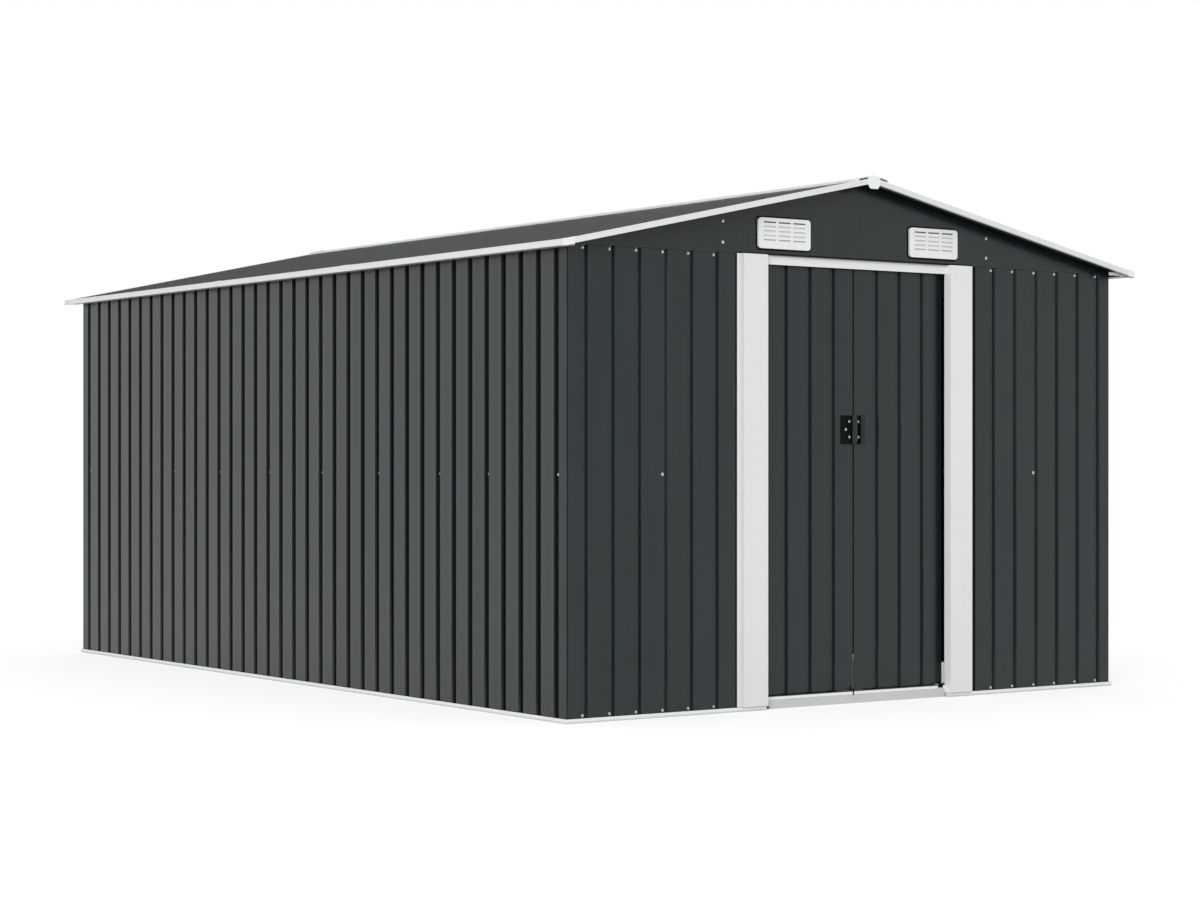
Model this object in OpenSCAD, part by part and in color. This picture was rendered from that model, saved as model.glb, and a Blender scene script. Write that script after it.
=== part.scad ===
// Metal storage shed: ribbed sheet walls, a low gable roof with white trims, and two doors
// that slide sideways behind the front wall.
// Millimetres. X runs along the front from left to right, Y from the front to the rear, Z up.
// The origin is on the ground, at the centre of the walls.

/* [Walls] */
// Width over the side walls
wall_w = 2460; // [2200:10:3000]
// Length over the front and rear walls
wall_l = 3770; // [2600:10:4600]
// Height of the wall sheets' top edge
wall_h = 1538; // [1450:1:1900]

/* [Ribbed sheet] */
// Thickness of every formed sheet
sheet_t = 1; // [0.6:0.1:1.4]
// Width of a rib at the face of the sheet
rib_open = 30; // [24:1:40]
// Width of a rib's floor
rib_floor = 20; // [12:1:22]
// Depth of a rib
rib_deep = 9.5; // [6:0.5:11]
// Ribs from one sheet's lap to the next
sheet_ribs = 4; // [2:1:6]
// Outside radius of a corner sheet's fold
fold_r = 5; // [2:0.5:10]
// First rib of the front and rear walls, from the corner
end_rib_in = 66; // [50:1:80]
// Distance between ribs on the front and rear walls
end_pitch = 106.5; // [90:0.5:120]
// Ribs of a corner sheet on the front or rear wall, its lap included
corner_ribs = 4; // [2:1:4]
// First rib of a side wall, from the front corner
side_first = 61; // [50:1:90]
// Distance between ribs on the side walls and the roof
side_pitch = 104; // [90:0.5:120]

/* [Roof] */
// Slope of the roof in degrees
roof_slope = 12; // [6:0.5:20]
// Overhang past each side wall
eave_out = 52; // [35:1:100]
// Overhang past the front and rear walls
gable_out = 76; // [50:1:140]
// Height of the roof's underside above the wall's top edge
roof_seat = 7.5; // [6:0.5:30]
// Width of one wing of the ridge cap
ridge_wing = 65; // [45:1:100]
// Height of the ridge cap's wings above the roof sheets
ridge_rise = 5; // [2:0.5:12]
// Height of the white band along the gables
band_h = 18; // [15:0.5:40]
// Height of the white band along the eaves
eave_h = 18; // [14:0.5:40]
// Lip of a roof trim over the sheets
band_lip = 22; // [12:1:35]
// Lip at the lower edge of a roof trim
band_low = 14; // [8:1:25]
// Distance of an eave trim's joints from its middle
eave_joint = 512; // [300:1:900]

/* [Doorway] */
// Half the width between the door jambs
door_half = 416; // [330:1:480]
// Width of a jamb's raised face
jamb_face = 104; // [60:1:140]
// Height of a jamb's face in front of the wall
jamb_raise = 13; // [5:0.5:14]
// Flange of the left jamb on the wall
left_flange = 12; // [4:1:24]
// Flange of the right jamb on the wall
right_flange = 4; // [4:1:24]
// Depth of a jamb's reveal behind the wall's face
jamb_reveal = 20; // [12:1:26]
// Depth of the sill's face behind the wall's face
sill_in = 17; // [8:1:18]
// Height of the sill
sill_h = 44; // [30:1:70]
// Height of the white header over the doors
header_h = 31; // [26:1:50]

/* [Doors] */
// Depth of the doors' face behind the wall's face
door_back = 33; // [31:1:45]
// Lap of a door behind the jamb
door_lap = 6; // [5:1:30]
// Gap between the closed doors
door_seam = 6; // [5:0.5:12]
// Distance between ribs on a door
door_pitch = 105.5; // [90:0.5:110]
// First rib of the left door, from the seam
left_rib = 97; // [80:1:120]
// First rib of the right door, from the seam
right_rib = 102; // [80:1:120]
// Width of a door's recessed outer stile
stile_w = 38; // [25:1:55]
// Depth of the recessed outer stile
stile_deep = 9; // [4:0.5:10]
// Height of the middle of a handle
handle_z = 950; // [700:1:1150]
// Height of a handle
handle_h = 100; // [70:1:140]
// Width of the left handle's plate
left_plate_w = 53; // [35:1:70]
// Width of the right handle's plate
right_plate_w = 31; // [25:1:70]
// Reach of the left handle's grip in front of its plate
left_reach = 22; // [15:1:38]
// Reach of the right handle's grip in front of its plate
right_reach = 29; // [15:1:38]

/* [Vents] */
// Width of a gable vent
vent_w = 227; // [150:1:260]
// Height of a gable vent
vent_h = 104; // [70:1:110]
// Distance of a vent's middle from the middle of the gable
vent_x = 340; // [240:1:400]
// Height of a vent's middle above the wall's top edge
vent_up = 74; // [65:1:85]
// Depth of a vent in front of the gable
vent_out = 8; // [5:0.5:14]

/* [Frame] */
// Thickness of the rails and beams
rail_t = 1.5; // [1:0.1:2.5]
// Height of the base rail's outer lip
base_lip = 15; // [10:1:30]
// Height of the base rail's inner web
base_web = 36; // [25:1:60]
// Distance from the wall's face to the outside of the base rail
base_out = 6; // [4:0.5:10]
// Height of the middle of the wall braces
brace_z = 798; // [500:1:1000]
// Height of a wall brace
brace_h = 40; // [25:1:60]
// Depth of a wall brace
brace_d = 17; // [10:1:17]
// Distance of a purlin from the middle of the roof
purlin_x = 600; // [480:1:750]
// Width of a purlin
purlin_w = 40; // [25:1:60]
// Depth of a purlin
purlin_d = 36; // [25:1:50]
// Width of the ridge beam
beam_w = 40; // [25:1:60]
// Depth of the ridge beam at its sides
beam_d = 48; // [30:1:60]

/* [Hidden] */
$fn = 48;
// Gap between pieces that seat on one another
fit_gap = 0.3;
// Running gap between a door and the fixed pieces near it
run_gap = 5;
// Overrun of every cut
over_cut = 2;
// Steps of a corner sheet's fold
fold_steps = 6;
// Depth of a formed sheet over its ribs
skin_d = rib_deep + sheet_t;
// Depth at which the inner pieces of a wall start
inner_y = skin_d + fit_gap;
// Depth of a lap's upper edge, which lies on the edge below
lap_deep = rib_deep - sheet_t - fit_gap;

// Lap of the corner sheet with its neighbour, from the corner
end_lap = end_rib_in + (corner_ribs - 1) * end_pitch;
// Least distance of a side wall's last rib from the rear corner
side_rest = 40;
side_last = floor((wall_l - side_first - side_rest) / side_pitch);
rear_leg = wall_l - side_first - side_last * side_pitch;
// Sheets of a side wall, of which the second may have fewer ribs
side_count = ceil(side_last / sheet_ribs);
side_less = side_count * sheet_ribs - side_last;
rear_span = wall_w - 2 * end_lap;
rear_last = round(rear_span / end_pitch);
rear_pitch = rear_span / rear_last;

jamb_slope = 8;
// Inner edge of the front sheets, behind the foot of a jamb's slope
jamb_foot = door_half + jamb_face + jamb_slope;
front_end = wall_w / 2 - jamb_foot - over_cut;
front_more = max(0, floor((front_end - rib_open - end_lap) / end_pitch));

// Base rail's floor, behind the wall's face, under the front wall and under the others
sill_back = 24;
front_floor = sill_back - rail_t - fit_gap;
base_floor = 40;
sheet_z = rail_t + fit_gap;

header_top = wall_h + sheet_t;
header_low = header_top - header_h;
header_d = 60;
header_back = inner_y + header_d;
header_lip_up = 7;
header_lip_z = header_low + header_lip_up;
gable_z = header_top + fit_gap;
gable_foot = 30;
gable_split = 0.3;

top_rail_h = 38;
top_rail_d = 42;

// Door leaf
leaf_in = door_seam / 2;
leaf_out = door_half + door_lap;
track_lip = sill_h - run_gap;
leaf_low = track_lip + run_gap + sheet_t;
leaf_top = header_lip_z - run_gap;
leaf_return = 18;
stile_slope = 4;
stile_x = leaf_out - stile_w;
stiff_y = max(rib_deep, stile_deep) + sheet_t + fit_gap;
stiff_d = 13;
stiff_h = 40;
stiff_in = run_gap;
stiff_low = leaf_low + stiff_in;
stiff_top = leaf_top - stiff_in - stiff_h;
stiff_mid = (stiff_low + stiff_top) / 2;
// Middle of the tracks' slot, behind the wall's face
slot_y = door_back + stiff_y + stiff_d / 2;

// Glides of a door
glide_neck = 6;
glide_head = 26;
glide_head_h = 11;
glide_l = 44;
glide_out = 10;
glide_side_h = 76;
// White shoe in front of a door's outer stile
shoe_w = 8;
shoe_t = 2;
shoe_top_h = 40;
shoe_gap = 6;
shoe_y = jamb_reveal + shoe_gap;
fork_deep = 22;
fork_w = 12;
slot_half = glide_neck / 2 + run_gap;

// Sill and lower track
track_foot = 18;
track_more = 30;
door_travel = 365;
track_half = leaf_out + glide_out + door_travel + track_more;

// Handle
plate_t = 3;
plate_in = leaf_in + fit_gap;
grip_t = 3;
grip_r = 14;

// Roof
eave_x = wall_w / 2 + eave_out;
roof_end = wall_l / 2 + gable_out;
sheet_end = roof_end - sheet_t - fit_gap;
sheet_eave = eave_x - sheet_t - fit_gap;
ridge_split = 5;
roof_rest = 50;
roof_last = floor(2 * (sheet_end - roof_rest) / side_pitch);
lap_first = floor(sheet_ribs / 2);
lap_count = floor((roof_last - 1 - lap_first) / sheet_ribs);
sleeve_l = 44;
length_gap = 1;

// Caps
cap_t = 1.5;
cap_leg = 30;
cap_more = 2;
ridge_cap_half = 27;
ridge_cap_drop = 34;
ridge_tab_half = 17;
ridge_tab_drop = 16;
hood_l = 26;

// Vents
vent_r = 12;
vent_rim = 10;
vent_skin = 2;
vent_cols = 3;
vent_rows = 5;
slot_w = 53;
slot_h = 5;
slot_gap = 11;
slot_row = 15.2;
slot_first = 15;
// Blades behind the slots, rising inward
blade_t = 1.2;
blade_d = 7;
blade_up = 1;

post_w = 40;
post_d = 20;

wall_color = "#3f4547";
trim_color = "#e4e6e6";
frame_color = "#a9adb0";
glide_color = "#f0f0ee";
handle_color = "#191a1b";

// Sheet profiles. A point is [distance along the wall, depth behind its face].
function rib(c) = [
    [c - rib_open / 2, 0],
    [c - rib_floor / 2, rib_deep],
    [c + rib_floor / 2, rib_deep],
    [c + rib_open / 2, 0]
];
function lap_start(c, deep) = [
    [c - rib_floor / 2 + fit_gap, deep],
    [c + rib_floor / 2, deep],
    [c + rib_open / 2, 0]
];
function lap_end(c, deep) = [
    [c - rib_open / 2, 0],
    [c - rib_floor / 2, deep],
    [c + rib_floor / 2 - fit_gap, deep]
];
function ribs(centres) = [for (c = centres) each rib(c)];
function backward(points) = [for (i = [len(points) - 1 : -1 : 0]) points[i]];
function thick(points) = concat(points, [for (p = backward(points)) p + [0, sheet_t]]);

// Roof heights. A distance square to the roof takes up(distance) of height.
function up(distance) = distance / cos(roof_slope);
function roof_top(x) =
    wall_h + roof_seat + up(skin_d) + (wall_w / 2 - abs(x)) * tan(roof_slope);
function roof_under(x) = roof_top(x) - up(skin_d);

// Each wall's own frame has X along the wall, Y into the shed and its face at Y = 0
module at_front() translate([0, -wall_l / 2, 0]) children();
module at_rear() rotate([0, 0, 180]) at_front() children();
module at_right() rotate([0, 0, 90]) translate([0, -wall_w / 2, 0]) children();
module at_left() mirror([1, 0, 0]) at_right() children();
module flip() mirror([1, 0, 0]) children();
module both_sides() {
    children();
    flip() children();
}
module block(low, high) translate(low) cube(high - low);
// A profile in X and Z, run from one Y to another
module along_y(from, to) translate([0, to, 0]) rotate([90, 0, 0]) linear_extrude(to - from) children();
// A profile in Y and Z, run from one X to another
module along_x(from, to) translate([from, 0, 0]) rotate([90, 0, 90]) linear_extrude(to - from) children();

module wall_sheet(points)
    translate([0, 0, sheet_z]) linear_extrude(wall_h - sheet_z) polygon(thick(points));

// Base rails: an outer lip, a floor and an inner web that the sheets are screwed to
module base_rail(lip, floor, web, floor_in) {
    block([lip[0], -base_out, 0], [lip[1], rail_t - base_out, base_lip]);
    block([floor[0], -base_out, 0], [floor[1], floor_in, rail_t]);
    block([web[0], inner_y, 0], [web[1], inner_y + rail_t, base_web]);
}
module base_rail_front() color(trim_color) at_front() both_sides() {
    start = door_half + sheet_t + fit_gap;
    base_rail(
        [start, wall_w / 2 + base_out],
        [start, wall_w / 2 + base_out - rail_t - fit_gap],
        [start, wall_w / 2 - inner_y],
        front_floor
    );
}
module base_rail_rear() color(trim_color) at_rear() {
    lip = wall_w / 2 + base_out;
    floor = lip - rail_t - fit_gap;
    web = wall_w / 2 - inner_y;
    base_rail([-lip, lip], [-floor, floor], [-web, web], base_floor);
}
module side_rail() {
    lip = wall_l / 2 + base_out - rail_t - fit_gap;
    run = [front_floor + fit_gap - wall_l / 2, wall_l / 2 - base_floor - fit_gap];
    base_rail([-lip, lip], run, run, base_floor);
}
module base_rail_left() color(trim_color) at_left() side_rail();
module base_rail_right() color(trim_color) at_right() side_rail();

// Sill between the jambs, in one piece with the lower track behind it
module door_sill() color(trim_color) at_front() {
    sill_half = door_half - fit_gap;
    along_x(-sill_half, sill_half) polygon([
        [sill_in, 0],
        [sill_in, sill_h],
        [sill_back, sill_h],
        [sill_back, rail_t],
        [sill_back - rail_t, rail_t],
        [sill_back - rail_t, sill_h - rail_t],
        [sill_in + rail_t, sill_h - rail_t],
        [sill_in + rail_t, 0]
    ]);
    block([-track_half, sill_back - rail_t, 0], [track_half, slot_y + track_foot, rail_t]);
    block([-track_half, slot_y - rail_t / 2, 0], [track_half, slot_y + rail_t / 2, track_lip]);
}

// Corner sheets, folded round the corner, with a leg on each wall
function end_leg() = concat(
    [[fold_r, 0]],
    ribs([for (i = [0 : 1 : corner_ribs - 2]) end_rib_in + i * end_pitch]),
    lap_end(end_lap, rib_deep)
);
function side_leg(first, deep) = concat([[fold_r, 0]], lap_end(first, deep));
function fold(radius) = [
    for (i = [1 : fold_steps - 1])
        let (turn = 270 - 90 * i / fold_steps)
        [fold_r + radius * cos(turn), fold_r + radius * sin(turn)]
];
function corner_path(leg, side, shift) = concat(
    [for (p = backward(leg)) [p[0], p[1] + shift]],
    fold(fold_r - shift),
    [for (p = side) [p[1] + shift, p[0]]]
);
module corner_sheet(side)
    translate([-wall_w / 2, -wall_l / 2, sheet_z])
        linear_extrude(wall_h - sheet_z)
            polygon(concat(
                corner_path(end_leg(), side, 0),
                backward(corner_path(end_leg(), side, sheet_t))
            ));
module front_left_corner() color(wall_color) corner_sheet(side_leg(side_first, rib_deep));
module front_right_corner() color(wall_color) flip() corner_sheet(side_leg(side_first, rib_deep));
module rear_left_corner() color(wall_color)
    mirror([0, 1, 0]) corner_sheet(side_leg(rear_leg, lap_deep));
module rear_right_corner() color(wall_color)
    rotate([0, 0, 180]) corner_sheet(side_leg(rear_leg, lap_deep));

// Front sheets, from the corner sheet's lap to the jamb's flange
module front_sheet() at_front() translate([-wall_w / 2, 0, 0]) wall_sheet(concat(
    lap_start(end_lap, lap_deep),
    ribs([for (i = [1 : 1 : front_more]) end_lap + i * end_pitch]),
    [[front_end, 0]]
));
module front_left_panel() color(wall_color) front_sheet();
module front_right_panel() color(wall_color) flip() front_sheet();

// Side and rear walls, each a row of lapped sheets
function side_rib(i) = side_first + i * side_pitch - wall_l / 2;
function side_lap(k) = k < 2 ? min(k * sheet_ribs, side_last) : k * sheet_ribs - side_less;
module side_sheets() for (k = [0 : 1 : side_count - 1]) wall_sheet(concat(
    lap_start(side_rib(side_lap(k)), lap_deep),
    ribs([for (i = [side_lap(k) + 1 : 1 : side_lap(k + 1) - 1]) side_rib(i)]),
    lap_end(side_rib(side_lap(k + 1)), rib_deep)
));
module left_wall() color(wall_color) at_left() side_sheets();
module right_wall() color(wall_color) at_right() side_sheets();

function rear_rib(i) = i * rear_pitch - rear_span / 2;
module rear_wall() color(wall_color) at_rear() for (k = [0 : sheet_ribs : rear_last - 1]) {
    last = min(k + sheet_ribs, rear_last);
    wall_sheet(concat(
        lap_start(rear_rib(k), lap_deep),
        ribs([for (i = [k + 1 : 1 : last - 1]) rear_rib(i)]),
        lap_end(rear_rib(last), last == rear_last ? lap_deep : rib_deep)
    ));
}

// Gables: two flat sheets with a foot, and the posts behind them
module vent_place() translate([vent_x, wall_h + vent_up]) children();
module gable_half() difference() {
    union() {
        along_y(0, sheet_t) polygon([
            [gable_split, gable_z],
            [wall_w / 2, gable_z],
            [wall_w / 2, roof_under(wall_w / 2) - fit_gap],
            [gable_split, roof_under(gable_split) - fit_gap]
        ]);
        block([gable_split, 0, gable_z], [wall_w / 2 - inner_y, gable_foot, gable_z + sheet_t]);
    }
    along_y(-over_cut, sheet_t + over_cut) vent_place()
        square([vent_w - 2 * vent_rim, vent_h - 2 * vent_rim], center = true);
}
module gable_post(x, top) {
    low = gable_z + sheet_t + fit_gap;
    near = sheet_t + fit_gap;
    difference() {
        block([x - post_w / 2, near, low], [x + post_w / 2, near + post_d, top]);
        block(
            [x - post_w / 2 + rail_t, near + rail_t, low - over_cut],
            [x + post_w / 2 - rail_t, near + post_d + over_cut, top + over_cut]
        );
    }
}
purlin_foot = roof_top(purlin_x) - (skin_d + fit_gap + purlin_d) * cos(roof_slope)
    - purlin_w / 2 * sin(roof_slope);
beam_top = roof_under(beam_w / 2) - fit_gap;
module gable() {
    both_sides() {
        gable_half();
        gable_post(purlin_x, purlin_foot - fit_gap);
    }
    gable_post(0, beam_top - beam_d - fit_gap);
}
module front_gable() color(wall_color) at_front() gable();
module rear_gable() color(wall_color) at_rear() gable();

// Vents: a shallow box with rows of slots and a blade behind each row, clipped into the gable's cut-out
module rounded(w, h, r) {
    square([w - 2 * r, h], center = true);
    square([w, h - 2 * r], center = true);
    for (x = [-1, 1], y = [-1, 1]) translate([x * (w / 2 - r), y * (h / 2 - r)]) circle(r);
}
module vent_box() difference() {
    union() {
        along_y(-vent_out, -fit_gap) vent_place() rounded(vent_w, vent_h, vent_r);
        along_y(-vent_out, vent_out) vent_place() square(
            [vent_w - 2 * vent_rim - 2 * fit_gap, vent_h - 2 * vent_rim - 2 * fit_gap],
            center = true
        );
    }
    along_y(vent_skin - vent_out, vent_out + over_cut) vent_place() square(
        [vent_w - 2 * vent_rim - 2 * vent_skin, vent_h - 2 * vent_rim - 2 * vent_skin],
        center = true
    );
    along_y(-vent_out - over_cut, vent_out) vent_place()
        for (c = [0 : vent_cols - 1], r = [0 : vent_rows - 1])
            translate([
                (c - (vent_cols - 1) / 2) * (slot_w + slot_gap),
                vent_h / 2 - slot_first - r * slot_row
            ]) square([slot_w, slot_h], center = true);
}
module vent() {
    half = vent_w / 2 - vent_rim - vent_skin / 2;
    near = vent_skin / 2 - vent_out;
    vent_box();
    for (r = [0 : vent_rows - 1]) {
        low = wall_h + vent_up + vent_h / 2 - slot_first - r * slot_row - slot_h / 2;
        high = low + slot_h + blade_up;
        along_x(vent_x - half, vent_x + half) polygon([
            [near, low - blade_t],
            [near + blade_d, high - blade_t],
            [near + blade_d, high],
            [near, low]
        ]);
    }
}
module front_vents() color(trim_color) at_front() both_sides() vent();
module rear_vents() color(trim_color) at_rear() both_sides() vent();

// Jambs: a flange on the wall, a raised face and a reveal beside the opening
module jamb(flange) {
    low = base_lip + fit_gap;
    raised = door_half + jamb_face;
    jamb_out = jamb_foot + flange;
    translate([0, 0, low]) linear_extrude(header_top - low) polygon([
        [door_half, -fit_gap],
        [door_half, -jamb_raise],
        [raised, -jamb_raise],
        [raised + jamb_slope, -sheet_t - fit_gap],
        [jamb_out, -sheet_t - fit_gap],
        [jamb_out, -fit_gap],
        [raised + jamb_slope - sheet_t, -fit_gap],
        [raised - sheet_t, sheet_t - jamb_raise],
        [door_half + sheet_t, sheet_t - jamb_raise],
        [door_half + sheet_t, -fit_gap]
    ]);
    block([door_half, -jamb_raise, low], [door_half + sheet_t, jamb_reveal, header_low - fit_gap]);
    block([door_half, -jamb_raise, low], [door_half + sheet_t, inner_y - fit_gap, header_top]);
}
module left_jamb() color(trim_color) at_front() flip() jamb(left_flange);
module right_jamb() color(trim_color) at_front() jamb(right_flange);

// Header: a slotted channel over the whole front, which the doors hang from
module door_header() color(trim_color) at_front() {
    half = wall_w / 2 - inner_y;
    along_x(-half, half) polygon([
        [inner_y, header_low],
        [inner_y, header_top],
        [header_back, header_top],
        [header_back, header_lip_z],
        [slot_y + slot_half, header_lip_z],
        [slot_y + slot_half, header_lip_z + rail_t],
        [header_back - rail_t, header_lip_z + rail_t],
        [header_back - rail_t, header_top - rail_t],
        [inner_y + rail_t, header_top - rail_t],
        [inner_y + rail_t, header_lip_z + rail_t],
        [slot_y - slot_half, header_lip_z + rail_t],
        [slot_y - slot_half, header_lip_z],
        [inner_y + rail_t, header_lip_z],
        [inner_y + rail_t, header_low]
    ]);
}

// Rails along the top of the rear and side walls
module rear_top_rail() color(frame_color) at_rear() {
    half = wall_w / 2 - inner_y;
    along_x(-half, half) polygon([
        [inner_y, header_top - top_rail_h],
        [inner_y, header_top],
        [inner_y + top_rail_d, header_top],
        [inner_y + top_rail_d, header_top - rail_t],
        [inner_y + rail_t, header_top - rail_t],
        [inner_y + rail_t, header_top - top_rail_h]
    ]);
}
module side_top_rail() {
    face = wall_w / 2 - inner_y;
    inside = face - top_rail_d;
    along_y(
        header_back + fit_gap - wall_l / 2,
        wall_l / 2 - inner_y - top_rail_d - fit_gap
    ) polygon([
        [face, wall_h - top_rail_h],
        [face, roof_under(face) - fit_gap],
        [inside, roof_under(inside) - fit_gap],
        [inside, roof_under(inside) - fit_gap - up(rail_t)],
        [face - rail_t, roof_under(face - rail_t) - fit_gap - up(rail_t)],
        [face - rail_t, wall_h - top_rail_h]
    ]);
}
module left_top_rail() color(frame_color) flip() side_top_rail();
module right_top_rail() color(frame_color) side_top_rail();

// Channels across the inside of the walls, at mid height
module brace(from, to) along_x(from, to) polygon([
    [inner_y, brace_z - brace_h / 2],
    [inner_y, brace_z + brace_h / 2],
    [inner_y + brace_d, brace_z + brace_h / 2],
    [inner_y + brace_d, brace_z + brace_h / 2 - rail_t],
    [inner_y + rail_t, brace_z + brace_h / 2 - rail_t],
    [inner_y + rail_t, brace_z - brace_h / 2 + rail_t],
    [inner_y + brace_d, brace_z - brace_h / 2 + rail_t],
    [inner_y + brace_d, brace_z - brace_h / 2]
]);
brace_end = inner_y + brace_d + fit_gap;
module front_braces() color(frame_color) at_front() both_sides()
    brace(door_half + sheet_t + fit_gap, wall_w / 2 - inner_y);
module rear_brace() color(frame_color) at_rear() brace(inner_y - wall_w / 2, wall_w / 2 - inner_y);
module left_brace() color(frame_color) at_left() brace(brace_end - wall_l / 2, wall_l / 2 - brace_end);
module right_brace() color(frame_color) at_right() brace(brace_end - wall_l / 2, wall_l / 2 - brace_end);

// Beams under the roof, from gable to gable
beam_end = wall_l / 2 - sheet_t - fit_gap;
module ridge_beam() color(frame_color) difference() {
    along_y(-beam_end, beam_end) polygon([
        [-beam_w / 2, beam_top - beam_d],
        [beam_w / 2, beam_top - beam_d],
        [beam_w / 2, beam_top],
        [0, roof_under(0) - fit_gap],
        [-beam_w / 2, beam_top]
    ]);
    along_y(-beam_end - over_cut, beam_end + over_cut) polygon([
        [rail_t - beam_w / 2, beam_top - beam_d + rail_t],
        [beam_w / 2 - rail_t, beam_top - beam_d + rail_t],
        [beam_w / 2 - rail_t, beam_top - rail_t],
        [0, roof_under(0) - fit_gap - up(rail_t)],
        [rail_t - beam_w / 2, beam_top - rail_t]
    ]);
}
module purlin() translate([purlin_x, 0, roof_top(purlin_x)]) rotate([0, roof_slope, 0]) {
    top = -skin_d - fit_gap;
    along_y(-beam_end, beam_end) polygon([
        [purlin_w / 2, top],
        [-purlin_w / 2, top],
        [-purlin_w / 2, top - purlin_d],
        [purlin_w / 2, top - purlin_d],
        [purlin_w / 2, top - purlin_d + rail_t],
        [rail_t - purlin_w / 2, top - purlin_d + rail_t],
        [rail_t - purlin_w / 2, top - rail_t],
        [purlin_w / 2, top - rail_t]
    ]);
}
module left_purlin() color(frame_color) flip() purlin();
module right_purlin() color(frame_color) purlin();

// Roof sheets, lapped like the walls, with their ribs running down the slope
function roof_rib(i) = (i - roof_last / 2) * side_pitch;
function roof_lap(k) = roof_rib(lap_first + k * sheet_ribs);
module roof_sheet(points)
    translate([ridge_split, 0, roof_top(ridge_split)])
        rotate([0, roof_slope, 0]) rotate([-90, 0, 0]) rotate([0, 90, 0])
            linear_extrude(up(sheet_eave - ridge_split)) polygon(thick(points));
module roof_side() {
    roof_sheet(concat(
        [[-sheet_end, 0]],
        ribs([for (i = [0 : 1 : lap_first - 1]) roof_rib(i)]),
        lap_end(roof_lap(0), rib_deep)
    ));
    for (k = [0 : 1 : lap_count - 1]) roof_sheet(concat(
        lap_start(roof_lap(k), lap_deep),
        ribs([for (i = [1 : 1 : sheet_ribs - 1]) roof_rib(lap_first + k * sheet_ribs + i)]),
        lap_end(roof_lap(k + 1), rib_deep)
    ));
    roof_sheet(concat(
        lap_start(roof_lap(lap_count), lap_deep),
        ribs([for (i = [lap_first + lap_count * sheet_ribs + 1 : 1 : roof_last]) roof_rib(i)]),
        [[sheet_end, 0]]
    ));
}
module left_roof() color(wall_color) flip() roof_side();
module right_roof() color(wall_color) roof_side();

// Trims. Each lies on the roof sheets by a lip that follows the slope.
function on_roof(x, height) = [x, roof_top(x) + up(height)];
lip_low = fit_gap;
lip_top = fit_gap + sheet_t;
module ridge_cap() color(trim_color) along_y(-sheet_end, sheet_end) polygon([
    on_roof(-ridge_wing, lip_low),
    on_roof(sheet_t - ridge_wing, lip_low),
    on_roof(sheet_t - ridge_wing, lip_low + ridge_rise),
    on_roof(0, lip_low + ridge_rise),
    on_roof(ridge_wing - sheet_t, lip_low + ridge_rise),
    on_roof(ridge_wing - sheet_t, lip_low),
    on_roof(ridge_wing, lip_low),
    on_roof(ridge_wing, lip_top + ridge_rise),
    on_roof(0, lip_top + ridge_rise),
    on_roof(-ridge_wing, lip_top + ridge_rise)
]);

eave_low = roof_top(eave_x) - eave_h;
module eave_profile() polygon([
    on_roof(eave_x - band_lip, lip_low),
    on_roof(eave_x - sheet_t, lip_low),
    [eave_x - sheet_t, eave_low + sheet_t],
    [eave_x - band_low, eave_low + sheet_t],
    [eave_x - band_low, eave_low],
    [eave_x, eave_low],
    on_roof(eave_x, lip_top),
    on_roof(eave_x - band_lip, lip_top)
]);
module sleeve_profile() polygon([
    [eave_x + lip_low, eave_low],
    [eave_x + lip_top, eave_low],
    on_roof(eave_x + lip_top, 2 * lip_top),
    on_roof(eave_x - band_lip, 2 * lip_top),
    on_roof(eave_x - band_lip, lip_top + lip_low),
    on_roof(eave_x + lip_low, lip_top + lip_low)
]);
eave_end = sheet_end - band_lip - fit_gap;
module eave_trim() {
    along_y(length_gap / 2 - eave_joint, eave_joint - length_gap / 2) eave_profile();
    for (end = [0, 1]) mirror([0, end, 0]) {
        along_y(eave_joint + length_gap / 2, eave_end) eave_profile();
        along_y(eave_joint - sleeve_l / 2, eave_joint + sleeve_l / 2) sleeve_profile();
    }
}
module left_eave_trim() color(trim_color) flip() eave_trim();
module right_eave_trim() color(trim_color) eave_trim();

module slope_band(from, to, low, high) polygon([
    [from, roof_top(from) + low],
    [to, roof_top(to) + low],
    [to, roof_top(to) + high],
    [from, roof_top(from) + high]
]);
module gable_trim() both_sides() {
    face = ridge_cap_half - cap_more;
    along_y(-gable_out, sheet_t - gable_out)
        slope_band(face, eave_x, -band_h, up(lip_top));
    along_y(-gable_out, band_lip - gable_out)
        slope_band(ridge_wing + fit_gap, eave_x, up(lip_low), up(lip_top));
    along_y(-gable_out, band_low - gable_out)
        slope_band(face, eave_x, -band_h, sheet_t - band_h);
}
module front_gable_trim() color(trim_color) at_front() gable_trim();
module rear_gable_trim() color(trim_color) at_rear() gable_trim();

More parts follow.
